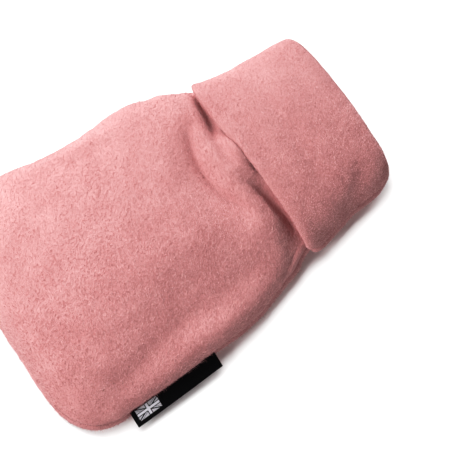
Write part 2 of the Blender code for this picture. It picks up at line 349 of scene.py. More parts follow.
BODY_CREASES = (
    Crease("neck trough", (-58, 94), (-17, 63), (38, 90), -6.0, 5),
    Crease("slope below the neck", (-66, 92), (-14, 56), (46, 84), -4.4, 12),
    Crease("far neck ridge", (-66, 106), (-30, 87), (4, 92), 2.6, 5.5),
    Crease("near neck ridge", (-30, 90), (8, 98), (60, 87), 2.6, 6.5),
    Crease("middle roll", (-38, 120), (-16, 110), (12, 95), 5.4, 9),
    Crease("roll against the hem", (-44, 112), (-14, 107), (20, 104), 3.4, 6),
    Crease("far hollow", (-94, 114), (-61, 114), (-28, 99), -6.8, 5, crease_shade=0.55),
    Crease("near hollow, shallow", (12, 101), (32, 111), (84, 112), -3.0, 6.5, crease_shade=0.6),
    Crease("near hollow, deep", (16, 106), (54, 115), (84, 111), -7.0, 7.5, crease_shade=0.7),
    Crease("near shoulder", (50, 108), (80, 101), (97, 80), -5.0, 10),
    Crease("near trough, low", (92, -96), (84, -40), (74, 22), -2.6, 10),
    Crease("near trough, high", (82, -26), (77, 40), (66, 108), -2.8, 11),
    Crease("near dimple", (74, -54), (54, 12), (60, 76), -4.2, 20),
    Crease("near rim", (103, -96), (99, 0), (92, 64), 3.8, 7),
    Crease("base trough", (-54, -78), (14, -85), (70, -76), -2.4, 10),
    Crease("base rim", (-70, -101), (0, -106), (64, -101), 2.0, 9),
    Crease("far rim", (-93, -62), (-89, 0), (-86, 80), 2.0, 7),
    Crease("far flat edge", (-103, -55), (-97, 0), (-101, 62), -2.5, 6),
)

COLLAR_CREASES = (
    Crease("collar trough", (-74, 157), (0, 154), (70, 150), -2.2, 10),
    Crease("collar roll", (-60, 132), (0, 134), (58, 128), 0.8, 13),
    Crease("hem over the roll", (-46, 117), (-14, 114), (16, 114), 1.3, 8),
    Crease("far dent", (-70, 192), (-40, 182), (-8, 190), -1.2, 8),
    Crease("near dent", (50, 186), (66, 168), (72, 140), -1.6, 6),
)


def heights(creases: tuple[Crease, ...], x: np.ndarray, y: np.ndarray) -> np.ndarray:
    """Add up the heights of several creases at plan places x, y."""
    return sum((crease.height_at(x, y) for crease in creases), np.zeros_like(x))


def crease_shade(x: np.ndarray, y: np.ndarray) -> np.ndarray:
    """Work out how much painted shade is laid into the body's hollows.

    Args:
        x: Plan places across the cover.
        y: Plan places along the cover.

    Returns:
        The painted shade at each place, from 0 to 1.
    """
    total = np.zeros_like(x)
    for crease in BODY_CREASES:
        if crease.crease_shade > 0:
            total += crease.crease_shade * crease.height_at(x, y) / (crease.height * MM)
    return np.minimum(total, 1.0)


@dataclass(frozen=True)
class CoverForm:
    """The cover's outer form: its sections, its rounded base and its edges."""

    base: float = -116 * MM
    corner_across: float = 48 * MM
    corner_along: float = 38 * MM
    front_end: float = 36 * MM
    back_end: float = 13 * MM
    corner_roundness: float = 2.4
    end_roundness: float = 2.2
    seam_gap: float = 0.3 * MM
    fineness: int = 8001

    def column(self, name: str, y: Any) -> Any:
        """Read one column of the section table at y, as the table gives it."""
        places = [section.y for section in SECTIONS]
        return through_table(places, [getattr(section, name) for section in SECTIONS], y / MM)

    def size(self, name: str, y: Any) -> Any:
        """Read one column of the section table at y, in metres."""
        return self.column(name, y) * MM

    @staticmethod
    def rise(distance: Any, length: float, roundness: float) -> Any:
        """Rise from 0 to 1 along a rounded end of the given length."""
        left_over = 1.0 - np.clip(distance / length, 0.0, 1.0)
        return (1.0 - left_over ** roundness) ** (1.0 / roundness)

    def skin(self, u: Any, y: Any, inset: Any, side: Side) -> np.ndarray:
        """Find points of the cover's outer skin.

        Args:
            u: Places from the left seam, -1, to the right one, 1.
            y: Places along the cover.
            inset: How far the points lie inside the skin.
            side: The front or the back of the cover.

        Returns:
            The points, as an array whose last axis is xyz.
        """
        from_base = y - self.base - inset
        corner = self.rise(from_base, self.corner_along, self.corner_roundness)
        left = self.size("left", y)
        right = self.size("right", y)
        seam = self.size("seam", y)
        half = (right - left) / 2 - inset - self.corner_across * (1.0 - corner)
        power = self.column(f"{side.value}_power", y)
        turn = np.sin(u * math.pi / 2)
        across = turn
        if side is Side.BACK:
            across = np.sign(turn) * np.abs(turn) ** (2.0 / power)
        upright = np.clip(1.0 - np.abs(across) ** power, 0.0, 1.0) ** (1.0 / power)
        x = (left + right) / 2 + half * across
        if side is Side.FRONT:
            swell = self.rise(from_base, self.front_end, self.end_roundness)
            height = (self.size("crown", y) - seam - inset) * swell
            z = seam + self.seam_gap / 2 + height * upright
        else:
            swell = self.rise(from_base, self.back_end, self.end_roundness)
            depth = (seam - self.size("under", y) - inset) * swell
            z = np.maximum(seam - self.seam_gap / 2 - depth * upright, inset)
        return np.stack(np.broadcast_arrays(x, y, z), axis=-1)

    def columns(self, side: Side, inset: float, grain: float) -> np.ndarray:
        """Find the u values of a panel's columns.

        Args:
            side: The panel's side.
            inset: How far its middle surface lies inside the skin.
            grain: The distance between two columns.

        Returns:
            The u values: a grain apart, and closer beside the seams.
        """
        fine = np.linspace(-1.0, 1.0, self.fineness)
        line = self.skin(fine, np.zeros_like(fine), inset, side)
        steps = np.linalg.norm(np.diff(line, axis=0), axis=1)
        along = np.concatenate([[0.0], np.cumsum(steps)])
        edge = np.array(SEAM_STEPS) * MM
        count = math.ceil((along[-1] - 2 * edge[-1]) / grain)
        inner = np.linspace(edge[-1], along[-1] - edge[-1], count + 1)
        places = np.concatenate([edge[:-1], inner, along[-1] - edge[-2::-1]])
        return np.interp(places, along, fine)


# ---------------------------------------------------------------------------
# Shader nodes
# ---------------------------------------------------------------------------


class Amount:
    """A number that varies over a surface: a socket whose arithmetic adds Math nodes."""

    def __init__(self, shade: "Shade", socket: bpy.types.NodeSocket) -> None:
        """Wrap a socket of the given shade."""
        self.shade = shade
        self.socket = socket

    def join(self, operation: str, *others: Any) -> "Amount":
        """Add one Math node that works on this number and the others, in that order."""
        values = dict(enumerate((self, *others)))
        return Amount(self.shade, self.shade.node("Math", {"operation": operation}, values).outputs[0])

    def after(self, operation: str, other: float) -> "Amount":
        """Add one Math node whose first number is the other one."""
        values = {0: other, 1: self}
        return Amount(self.shade, self.shade.node("Math", {"operation": operation}, values).outputs[0])

    def __add__(self, other: Any) -> "Amount":
        """Add."""
        return self.join("ADD", other)

    def __radd__(self, other: float) -> "Amount":
        """Add to a plain number."""
        return self.join("ADD", other)

    def __sub__(self, other: Any) -> "Amount":
        """Subtract."""
        return self.join("SUBTRACT", other)

    def __rsub__(self, other: float) -> "Amount":
        """Subtract from a plain number."""
        return self.after("SUBTRACT", other)

    def __mul__(self, other: Any) -> "Amount":
        """Multiply."""
        return self.join("MULTIPLY", other)

    def __rmul__(self, other: float) -> "Amount":
        """Multiply a plain number."""
        return self.join("MULTIPLY", other)

    def __truediv__(self, other: Any) -> "Amount":
        """Divide."""
        return self.join("DIVIDE", other)

    def __lt__(self, other: Any) -> "Amount":
        """Give 1 where this number is the smaller one, and 0 elsewhere."""
        return self.join("LESS_THAN", other)

    def __gt__(self, other: Any) -> "Amount":
        """Give 1 where this number is the larger one, and 0 elsewhere."""
        return self.join("GREATER_THAN", other)

    def __abs__(self) -> "Amount":
        """Drop the sign."""
        return self.join("ABSOLUTE")

    def either(self, other: "Amount") -> "Amount":
        """Take the larger of two masks."""
        return self.join("MAXIMUM", other)

    def held(self) -> "Amount":
        """Hold this number between 0 and 1."""
        return self.join("MINIMUM", 1.0).join("MAXIMUM", 0.0)


class Shade:
    """A material in the making, with the one method that adds its nodes."""

    def __init__(self, name: str) -> None:
        """Start a material with an empty surface.

        Args:
            name: The material's name.
        """
        self.material = bpy.data.materials.new(name)
        self.material.use_nodes = True
        self.tree = self.material.node_tree
        self.tree.nodes.clear()

    def node(self, kind: str, settings: dict | None = None, inputs: dict | None = None) -> Any:
        """Add a node.

        Args:
            kind: The node's type, without its ShaderNode prefix.
            settings: Its own settings, set first.
            inputs: What its sockets, by name or number, are set or linked to.

        Returns:
            The node.
        """
        made = self.tree.nodes.new("ShaderNode" + kind)
        for name, value in (settings or {}).items():
            setattr(made, name, value)
        for name, value in (inputs or {}).items():
            source = value.socket if isinstance(value, Amount) else value
            if isinstance(source, bpy.types.NodeSocket):
                self.tree.links.new(source, made.inputs[name])
            else:
                made.inputs[name].default_value = source
        return made

    def noise(self, places: bpy.types.NodeSocket, wave: float, **inputs: float) -> Amount:
        """Add a noise over some places, whose hills and dips are a wave apart."""
        made = self.node("TexNoise", inputs={"Vector": places, "Scale": 1 / wave, **inputs})
        return Amount(self, made.outputs["Fac"])

    def carried(self, name: str) -> Amount:
        """Read a number that the mesh carries at its vertices."""
        return Amount(self, self.node("Attribute", {"attribute_name": name}).outputs["Fac"])

    def places(self) -> bpy.types.NodeSocket:
        """Places on the object, in metres."""
        return self.node("TexCoord").outputs["Object"]

    def blend(self, factor: Any, first: Any, second: Any) -> bpy.types.NodeSocket:
        """Mix two colours.

        Args:
            factor: The share of the second one.
            first: The first colour, as numbers or a socket.
            second: The second colour, likewise.

        Returns:
            The mixed colour.
        """
        made = self.node("Mix", {"data_type": "RGBA"}, {"Factor": factor})
        for socket, colour in ((made.inputs[6], first), (made.inputs[7], second)):
            if isinstance(colour, bpy.types.NodeSocket):
                self.tree.links.new(colour, socket)
            else:
                socket.default_value = (*colour, 1.0)
        return made.outputs[2]

    def finish(self, **sockets: Any) -> bpy.types.Material:
        """Add the surface shader.

        Args:
            sockets: What its sockets are set or linked to, with their names' spaces as
                underscores.

        Returns:
            The finished material.
        """
        named = {name.replace("_", " "): value for name, value in sockets.items()}
        shader = self.node("BsdfPrincipled", inputs=named)
        self.node("OutputMaterial", inputs={"Surface": shader.outputs["BSDF"]})
        return self.material


@dataclass(frozen=True)
class FleeceFinish:
    """A brushed fleece: soft patches, clumps of nap and fibres that lie in swirls.

    Patch, clump, fibre and swirl are how far apart these are. The shares are how strongly
    each of the first three tones the colour, and the seam's is how strongly painted shade
    darkens it along the seams.
    """

    name: str
    patch: float
    clump: float
    stretch: float
    swirl: float
    swirl_push: float
    clump_depth: float
    fibre_depth: float
    # How strongly the painted shade of the body's hollows darkens this cloth.
    crease_shade_share: float = 0.0
    fibre: float = 0.4 * MM
    lie: float = 0.96
    tilt: tuple[float, float] = (0.3, 0.2)
    patch_share: float = 0.5
    clump_share: float = 0.5
    fibre_share: float = 1.1
    seam_shade_share: float = 0.9
    dark: tuple[float, float, float] = (0.33, 0.115, 0.115)
    light: tuple[float, float, float] = (0.78, 0.395, 0.395)
    # The colour of the painted shade along the seams.
    seam_shade_colour: tuple[float, float, float] = (0.10, 0.028, 0.032)

    def material(self) -> bpy.types.Material:
        """Build the material.

        Returns:
            A matte cloth whose colour and fine relief follow its clumps and fibres.
        """
        shade = Shade(self.name)
        places = shade.places()
        turned = shade.node(
            "TexNoise", inputs={"Vector": places, "Scale": 1 / self.swirl, "Detail": 1.0}
        )
        push = shade.node(
            "VectorMath",
            {"operation": "MULTIPLY_ADD"},
            {0: turned.outputs["Color"], 1: (self.swirl_push,) * 3, 2: places},
        )
        strands = shade.node(
            "Mapping",
            {"vector_type": "TEXTURE"},
            {
                "Vector": push.outputs[0],
                "Rotation": (*self.tilt, self.lie),
                "Scale": (1.0, self.stretch, 1.0),
            },
        ).outputs[0]
        patch = shade.noise(places, self.patch, Detail=2.0)
        clump = shade.noise(strands, self.clump, Detail=2.0)
        fibre = shade.noise(strands, self.fibre, Detail=2.0, Roughness=0.6)
        mixed = (patch - 0.5) * self.patch_share + (clump - 0.5) * self.clump_share
        mixed = mixed + (fibre - 0.5) * self.fibre_share + 0.5
        colour = shade.blend(mixed.held(), self.dark, self.light)
        # Painted shade: the body's hollows darken towards a deep red.
        if self.crease_shade_share > 0:
            colour = shade.blend(shade.carried(CREASE_SHADE) * self.crease_shade_share, colour, CREASE_SHADE_COLOUR)
        # Painted shade along the seams, darkest at their edge.
        colour = shade.blend(shade.carried(SEAM_SHADE) * self.seam_shade_share, colour, self.seam_shade_colour)
        height = clump * self.clump_depth + fibre * self.fibre_depth
        bump = shade.node("Bump", inputs={"Height": height, "Distance": 1.0, "Strength": 1.0})
        return shade.finish(
            Base_Color=colour,
            Roughness=0.95,
            Specular_IOR_Level=0.15,
            Sheen_Weight=0.3,
            Sheen_Roughness=0.45,
            Sheen_Tint=SHEEN_TINT,
            Normal=bump.outputs["Normal"],
        )


NAP = FleeceFinish(
    name="brushed fleece",
    patch=26 * MM,
    clump=1.3 * MM,
    stretch=2.2,
    swirl=8 * MM,
    swirl_push=0.3 * MM,
    clump_depth=0.03 * MM,
    fibre_depth=0.12 * MM,
    crease_shade_share=0.3,
)

REVERSE = FleeceFinish(
    name="fleece reverse",
    patch=30 * MM,
    clump=1.1 * MM,
    stretch=2.0,
    swirl=7 * MM,
    swirl_push=0.8 * MM,
    clump_depth=0.06 * MM,
    fibre_depth=0.1 * MM,
)


# ---------------------------------------------------------------------------
# Cloth
# ---------------------------------------------------------------------------


@dataclass(frozen=True)
class Sheet:
    """A sheet of cloth as grids: its middle surface, its way out and its thickness."""

    middle: np.ndarray
    outward: np.ndarray
    thickness: np.ndarray

    @property
    def shape(self) -> tuple[int, int]:
        """Rows and columns of points."""
        return self.middle.shape[:2]

    def face(self, way: ClothFace, raised: Any = 0.0) -> np.ndarray:
        """Find the points of one face of the cloth, raised from it by some height."""
        lift = self.thickness / 2 + raised
        return self.middle + self.outward * (lift * way.value)[..., None]

    def lengths(self) -> tuple[np.ndarray, np.ndarray]:
        """Measure the cloth.

        Returns:
            The length across the sheet and the length along its path, at each point.
        """
        across = np.linalg.norm(np.diff(self.middle, axis=1), axis=-1)
        along = np.linalg.norm(np.diff(self.middle, axis=0), axis=-1)
        return (
            np.concatenate([np.zeros((self.shape[0], 1)), np.cumsum(across, axis=1)], axis=1),
            np.concatenate([np.zeros((1, self.shape[1])), np.cumsum(along, axis=0)], axis=0),
        )

    def from_sides(self) -> np.ndarray:
        """Measure how far each point is from the nearer side of the sheet."""
        across, _ = self.lengths()
        return np.minimum(across, across[:, -1:] - across)

    def solid(self, name: str, napped: np.ndarray, reverse: np.ndarray) -> bpy.types.Object:
        """Make one closed piece with a UV map in metres.

        Args:
            name: The piece's name.
            napped: Points of the face that gets the first material.
            reverse: Points of the face that gets the second material.

        Returns:
            The piece, with its place in its mesh.
        """
        rows, columns = self.shape
        model = bmesh.new()
        bmesh.ops.create_grid(model, x_segments=columns - 1, y_segments=rows - 1, size=1.0)
        bmesh.ops.extrude_face_region(model, geom=list(model.faces), use_keep_orig=True)
        mesh = bpy.data.meshes.new(name)
        model.to_mesh(mesh)
        model.free()
        flat = read_all(mesh.vertices, "co", float, 3)
        column = np.rint((flat[:, 0] + 1) / 2 * (columns - 1)).astype(int)
        row = np.rint((flat[:, 1] + 1) / 2 * (rows - 1)).astype(int)
        is_napped = np.arange(len(flat)) >= rows * columns
        placed = np.where(is_napped[:, None], napped[row, column], reverse[row, column])
        mesh.vertices.foreach_set("co", placed.ravel())
        self.lay_out(mesh, row, column)
        loops = read_all(mesh.loops, "vertex_index")
        starts = read_all(mesh.polygons, "loop_start")
        all_reverse = np.logical_and.reduceat(~is_napped[loops], starts)
        mesh.polygons.foreach_set("material_index", all_reverse.astype(int))
        # Painted shade along the seams: it fades within a few millimetres of each side.
        from_seam = self.from_sides()[row, column]
        mark(mesh, SEAM_SHADE, np.exp(-((from_seam / SEAM_SHADE_WIDTH) ** 2)))
        model = bmesh.new()
        model.from_mesh(mesh)
        bmesh.ops.recalc_face_normals(model, faces=list(model.faces))
        if model.calc_volume(signed=True) < 0:
            bmesh.ops.reverse_faces(model, faces=list(model.faces))
        model.to_mesh(mesh)
        model.free()
        mesh.shade_smooth()
        return put_up(name, mesh)

    def lay_out(self, mesh: bpy.types.Mesh, row: np.ndarray, column: np.ndarray) -> None:
        """Give the mesh a UV map in metres of cloth: across it, and along its path.

        Args:
            mesh: The mesh.
            row: The row of the sheet that each vertex belongs to.
            column: Its column.
        """
        across, along = self.lengths()
        loops = read_all(mesh.loops, "vertex_index")
        places = np.stack([across[row, column], along[row, column]], axis=-1)
        layer = mesh.uv_layers.new(name="cloth")
        layer.data.foreach_set("uv", places[loops].ravel())


@dataclass(frozen=True)
class PathRow:
    """One row of a panel: where it lies and how thick the cloth is there.

    The shares are how far it follows the uneven lines of the fold and of the hem.
    """

    y: float
    inset: float
    fold_share: float
    hem_share: float
    thickness: float
    is_collar: bool = False


@dataclass(frozen=True)
class Panel:
    """One cut panel of the cover: one sheet from its base seam to its collar's hem.

    The distances are metres. Its tuck, hem, neck and fold are places along Y.
    """

    side: Side
    grain: float
    hidden_grain: float

    # The cloth, and the gap between its two layers at the neck and at the fold.
    cloth: float = 2.8 * MM
    hem_cloth: float = 4.4 * MM
    hem_depth: float = 11 * MM
    layer_gap: float = 2.4 * MM
    fold_gap: float = 5.2 * MM

    # Where the cloth is drawn in, and where the collar and the fold lie.
    tuck_start: float = 88 * MM
    tuck_end: float = 108 * MM
    hem: float = 112 * MM
    neck: float = 122 * MM
    ease_start: float = 185 * MM
    fold: float = 213 * MM

    # How the rows are stepped at the rounded base, round the fold and at the hem's edge.
    end_fineness: float = 1.3
    end_first_turn: float = 0.19
    turn_steps: int = 10
    edge_steps: int = 5
    edge_last_angle: float = 0.12
    edge_least: float = 0.02

    # The hem's rounded corners, and the lip that it presses into the body.
    half_girth: float = 95 * MM
    corner_radius: float = 3 * MM
    corner_power: int = 6
    corner_drawn: float = 2.0 * MM
    corner_depth: float = 7 * MM
    corner_start: float = 0.72
    corner_width: float = 0.22
    lip_height: float = 2.1 * MM
    lip_width: float = 8 * MM

    # How the creases fade under the hem, at the side seams and at the base.
    ridge_end: float = 2.8 * MM
    ridge_cover: float = 0.7
    ridge_room: float = 0.3 * MM
    side_fade: float = 0.08
    base_fade: float = 12 * MM

    # The seams' groove, the roll beside it, the open stitches and the puckers.
    groove_depth: float = 3.0 * MM
    groove_width: float = 1.4 * MM
    roll_height: float = 0.7 * MM
    roll_width: float = 3.6 * MM
    slit_place: float = 77 * MM
    slit_length: float = 3 * MM
    slit_depth: float = 2.6 * MM
    pucker_depth: float = 0.6 * MM
    pucker_width: float = 9 * MM
    pucker_wave: float = 11 * MM

    # The nap's soft lumps.
    lump_depth: float = 0.11 * MM
    lump_wave: float = 5 * MM
    broad_lump_wave: float = 17 * MM
    broad_lump_share: float = 2.0

    form: CoverForm = CoverForm()

    @property
    def node(self) -> str:
        """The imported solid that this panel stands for."""
        return f"{self.side.value}_panel"

    @property
    def fold_radius(self) -> float:
        """Radius of the cloth's middle round the fold at the mouth."""
        return (self.cloth + self.fold_gap) / 2

    @property
    def turn_start(self) -> float:
        """Where along Y the cloth starts to turn round the mouth."""
        return self.fold - self.cloth / 2 - self.fold_radius

    def tuck(self, y: Any) -> Any:
        """How far the cloth is drawn in under the collar, from 0 on the body to 1."""
        return smooth_step((y - self.tuck_start) / (self.tuck_end - self.tuck_start))

    def gap(self, y: Any) -> Any:
        """Gap between the neck and the collar: it opens towards the soft fold."""
        ease = smooth_step((y - self.ease_start) / (self.turn_start - self.ease_start))
        return self.layer_gap + (self.fold_gap - self.layer_gap) * ease

    def spaced(self, start: float, end: float, grain: float) -> list[float]:
        """Places after start up to end, no more than a grain apart."""
        steps = max(1, math.ceil(abs(end - start) / grain))
        return list(np.linspace(start, end, steps + 1))[1:]

    def rows(self) -> list[PathRow]:
        """Lay out the rows of the cloth's path.

        Returns:
            The rows, from the base seam over the body and the neck's fold to the hem.
        """
        form = self.form
        steps = math.ceil(form.front_end * self.end_fineness / self.grain)
        turns = [math.pi / 2 * step / steps for step in range(steps)]
        turns = [turn for turn in turns if turn > self.end_first_turn]
        turns = [step * MM / form.front_end for step in SEAM_STEPS] + turns
        places = [form.base + self.cloth / 2 + form.front_end * (1 - math.cos(turn)) for turn in turns]
        places += [form.base + form.front_end]
        places += self.spaced(form.base + form.front_end, self.neck, self.grain)
        places += self.spaced(self.neck, self.turn_start, self.hidden_grain)
        made = []
        for y in places:
            inset = self.cloth / 2 + (self.cloth + float(self.gap(y))) * float(self.tuck(y))
            share = float(smooth_step((y - self.neck) / (self.turn_start - self.neck)))
            made.append(PathRow(y, inset, share, 0.0, self.cloth))
        for step in range(1, self.turn_steps):
            angle = math.pi * step / self.turn_steps
            y = self.turn_start + self.fold_radius * math.sin(angle)
            inset = self.cloth / 2 + self.fold_radius * (1 + math.cos(angle))
            made.append(PathRow(y, inset, 1.0, 0.0, self.cloth, is_collar=step > self.turn_steps / 2))
        return made + self.collar_rows()

    def collar_rows(self) -> list[PathRow]:
        """Lay out the collar's rows.

        Returns:
            The rows, from the fold down to the collar's turned-in hem.
        """
        hem_top = self.hem + self.hem_depth
        radius = self.hem_cloth / 2
        places = [self.turn_start] + self.spaced(self.turn_start, self.hem + radius, self.grain)
        angles = np.linspace(math.pi / 2, self.edge_last_angle, self.edge_steps + 1)[1:]
        places += [self.hem + radius * (1 - math.sin(math.pi / 2 - angle)) for angle in angles]
        made = []
        for y in places:
            fall = (self.turn_start - y) / (self.turn_start - self.hem)
            swell = float(smooth_step(2 * (hem_top - y) / self.hem_depth))
            full = self.cloth + (self.hem_cloth - self.cloth) * swell
            from_edge = min((y - self.hem) / radius, 1.0)
            thickness = full * math.sqrt(max(1 - (1 - from_edge) ** 2, self.edge_least))
            from_hem = (y - self.hem) / self.lip_width
            lip = self.lip_height * from_hem * math.exp(1 - from_hem)
            made.append(PathRow(y, full / 2 - lip, 1.0 - fall, fall, thickness, is_collar=True))
        return made

    def sheet(self) -> tuple[Sheet, np.ndarray]:
        """Work out the panel's cloth.

        Returns:
            The sheet, and for each of its rows whether it is the collar's.
        """
        rows = self.rows()
        u = self.form.columns(self.side, self.cloth / 2, self.grain)[None, :]
        y, inset, fold_share, hem_share, thickness = (
            np.array([getattr(row, name) for row in rows])[:, None]
            for name in ("y", "inset", "fold_share", "hem_share", "thickness")
        )
        is_collar = np.array([row.is_collar for row in rows])
        hem_line = FRONT_HEM_LINE if self.side is Side.FRONT else BACK_HEM_LINE
        places = y + fold_share * self.shift(FOLD_LINE, u) + hem_share * self.shift(hem_line, u)
        places = places + hem_share ** self.corner_power * self.hem_corner(u)
        inset = inset + self.drawn_in(y, u, is_collar[:, None])
        middle = self.form.skin(u, places, inset, self.side)
        outward = self.ways_out(middle)
        if self.side is Side.FRONT:
            middle = middle + outward * self.creased(middle, is_collar, u)[..., None]
            outward = self.ways_out(middle)
        middle = self.seamed(middle, outward, is_collar)
        outward = self.ways_out(middle)
        return Sheet(middle, outward, np.broadcast_to(thickness, places.shape)), is_collar

    @staticmethod
    def shift(line: tuple[EdgePoint, ...], u: np.ndarray) -> np.ndarray:
        """Read how far a collar edge is shifted along Y at u, in metres."""
        return through_table([point.u for point in line], [point.shift for point in line], u) * MM

    def hem_corner(self, u: np.ndarray) -> np.ndarray:
        """How far the hem's corners at the side seams are rounded off, at u."""
        from_seam = (1.0 - np.abs(u)) * self.half_girth / self.corner_radius
        return self.corner_radius * (1.0 - np.sqrt(1.0 - (1.0 - np.clip(from_seam, 0.0, 1.0)) ** 2))

    def drawn_in(self, y: np.ndarray, u: np.ndarray, is_collar: np.ndarray) -> np.ndarray:
        """Work out how far the hem is drawn in at the collar's near corner, to round it off.

        Args:
            y: Places along the cover.
            u: Places across the panel.
            is_collar: Whether each row is the collar's.

        Returns:
            How much deeper each point lies inside the skin.
        """
        from_hem = np.clip((y - self.hem) / self.corner_depth, 0.0, 1.0)
        corner = self.corner_drawn * (1.0 - np.sqrt(1.0 - (1.0 - from_hem) ** 2))
        share = smooth_step((u - self.corner_start) / self.corner_width)
        return share * np.where(is_collar, corner, 0.0)

    def creased(self, middle: np.ndarray, is_collar: np.ndarray, u: np.ndarray) -> np.ndarray:
        """Work out how far the creases move the cloth along its napped face.

        Args:
            middle: The uncreased middle surface.
            is_collar: Whether each row is the collar's.
            u: Places across the panel.

        Returns:
            The move at each point, which fades out at the seams. Ridges of the body are
            pressed down under the hem, as far as it leaves them room. On the collar the
            napped face points down, so there it is turned over.
        """
        x = middle[..., 0]
        y = middle[..., 1]
        body = heights(BODY_CREASES, x, y)
        collar = heights(COLLAR_CREASES, x, y)
        under = smooth_step((y - self.hem) / (self.neck - self.hem))
        hem_edge = self.hem + self.shift(FRONT_HEM_LINE, u)
        covered = smooth_step((y - hem_edge) / self.ridge_end + self.ridge_cover)
        room = np.maximum(collar, 0.0) + self.ridge_room
        ridge = body * (1 - covered) + np.minimum(body, room) * covered * (1 - under)
        body = np.where(body > 0, ridge, body * (1 - under))
        edge = smooth_step((1.0 - np.abs(u)) / self.side_fade)
        edge = edge * smooth_step((y - self.form.base) / self.base_fade)
        return np.where(is_collar[:, None], -collar, body + collar * under) * edge

    def seamed(self, middle: np.ndarray, outward: np.ndarray, is_collar: np.ndarray) -> np.ndarray:
        """Draw the cloth in at its seams, and pucker it beside them.

        Args:
            middle: The middle surface.
            outward: The napped face's way out at each point.
            is_collar: Whether each row is the collar's.

        Returns:
            The middle surface with the seams' grooves and puckers, and with the one place
            where the near seam's stitches stand open.
        """
        sheet = Sheet(middle, outward, np.zeros(middle.shape[:2]))
        _, along = sheet.lengths()
        from_seam = np.minimum(sheet.from_sides(), along)
        slit = self.slit_depth * np.exp(-(((middle[..., 1] - self.slit_place) / self.slit_length) ** 2))
        slit = np.where(is_collar[:, None] | (middle[..., 0] < 0), 0.0, slit)
        groove = -(self.groove_depth + slit) * np.exp(-((from_seam / self.groove_width) ** 2))
        groove += self.roll_height * np.exp(-((from_seam / self.roll_width - 1) ** 2) * 2)
        near = np.exp(-((from_seam / self.pucker_width) ** 2))
        pucker = Unevenness(self.pucker_wave, seed=5).at(middle) * self.pucker_depth * near
        way = np.where(is_collar[:, None], -1.0, 1.0)
        return middle + outward * ((groove + pucker) * way)[..., None]

    def ways_out(self, middle: np.ndarray) -> np.ndarray:
        """Find the way out of the cloth's napped face.

        Args:
            middle: The middle surface.

        Returns:
            Directions of length one, which are level along the seams.
        """
        outward = np.cross(np.gradient(middle, axis=1), np.gradient(middle, axis=0))
        if self.side is Side.BACK:
            outward = -outward
        outward[0, :, 2] = 0.0
        outward[:, 0, 2] = 0.0
        outward[:, -1, 2] = 0.0
        return unit(outward)

    def build(self) -> "Cloth":
        """Build the panel.

        Returns:
            The panel with its piece.
        """
        sheet, is_collar = self.sheet()
        faces = {way: sheet.face(way, self.lumps(sheet, way)) for way in ClothFace}
        if self.side is Side.BACK:
            for points in faces.values():
                points[..., 2] = np.maximum(points[..., 2], 0.0)
        name = f"{self.side.value}_cloth"
        piece = sheet.solid(name, faces[ClothFace.NAPPED], faces[ClothFace.REVERSE])
        # Painted shade for the body's hollows, carried at each vertex of the front.
        if self.side is Side.FRONT:
            x, y, _ = read_all(piece.data.vertices, "co", float, 3).T
            mark(piece.data, CREASE_SHADE, crease_shade(x, y))
        return Cloth(self, piece, sheet, faces, is_collar)

    def lumps(self, sheet: Sheet, way: ClothFace) -> np.ndarray:
        """Work out the nap's soft lumps.

        Args:
            sheet: The cloth.
            way: The face of the cloth that they rise from.

        Returns:
            The height of the lumps at each point.
        """
        fine = Unevenness(self.lump_wave, seed=11 + way.value).at(sheet.middle)
        broad = Unevenness(self.broad_lump_wave, seed=23 + way.value).at(sheet.middle)
        return self.lump_depth * (fine + self.broad_lump_share * broad)


@dataclass(frozen=True)
class Cloth:
    """A built panel: its piece, its sheet, its two faces and which rows are the collar's.

    Fibres go on a little way under the hem and into the mouth, and keep off the table.
    """

    panel: Panel
    piece: bpy.types.Object
    sheet: Sheet
    faces: dict[ClothFace, np.ndarray]
    is_collar: np.ndarray
    under_hem: float = 6 * MM
    into_mouth: float = 8 * MM
    off_table: float = 2 * MM

    def body_cells(self) -> np.ndarray:
        """Find the cells of the napped face that show.

        Returns:
            Whether each cell is one of the body's, to just inside the collar.
        """
        face = self.faces[ClothFace.NAPPED][:-1, :-1]
        shown = face[..., 1] < self.panel.hem + self.under_hem
        shown[:BARE_STEPS] = False
        clear = (face[..., 2] > self.off_table) & self.beside_seams()
        return shown & ~self.is_collar[:-1, None] & clear

    def collar_cells(self) -> np.ndarray:
        """Find the cells of the reverse face that show.

        Returns:
            Whether each cell is one of the collar's or of those round the mouth.
        """
        face = self.faces[ClothFace.REVERSE][:-1, :-1]
        in_mouth = face[..., 1] > self.panel.ease_start + self.into_mouth
        shown = self.is_collar[:-1, None] | in_mouth
        return shown & (face[..., 2] > self.off_table) & self.beside_seams()

    def beside_seams(self) -> np.ndarray:
        """Find the columns of cells that are clear of the side seams' grooves."""
        column = np.arange(self.sheet.shape[1] - 1)
        return ((column >= BARE_STEPS) & (column < len(column) - BARE_STEPS))[None, :]


# ---------------------------------------------------------------------------
# Pile
# ---------------------------------------------------------------------------


@dataclass(frozen=True)
class PileFinish:
    """The fibres' colour: darker at their roots, which lie in shade, paler at their tips, and with
    painted shade in the body's hollows.
    """

    name: str = "brushed fibres"
    root: tuple[float, float, float] = (0.38, 0.145, 0.145)
    tip: tuple[float, float, float] = (0.91, 0.56, 0.56)
    # How strongly the painted shade of the body's hollows darkens the fibres.
    crease_shade_share: float = 0.6

    def material(self) -> bpy.types.Material:
        """Build the material.

        Returns:
            A matte finish that reads the tone each fibre carries.
        """
        shade = Shade(self.name)
        colour = shade.blend(shade.carried(TONE).held(), self.root, self.tip)
        # Painted shade: fibres in the body's hollows darken towards a deep red.
        colour = shade.blend(shade.carried(CREASE_SHADE) * self.crease_shade_share, colour, CREASE_SHADE_COLOUR)
        return shade.finish(
            Base_Color=colour,
            Roughness=0.9,
            Specular_IOR_Level=0.2,
            Sheen_Weight=0.25,
            Sheen_Roughness=0.4,
            Sheen_Tint=SHEEN_TINT,
        )


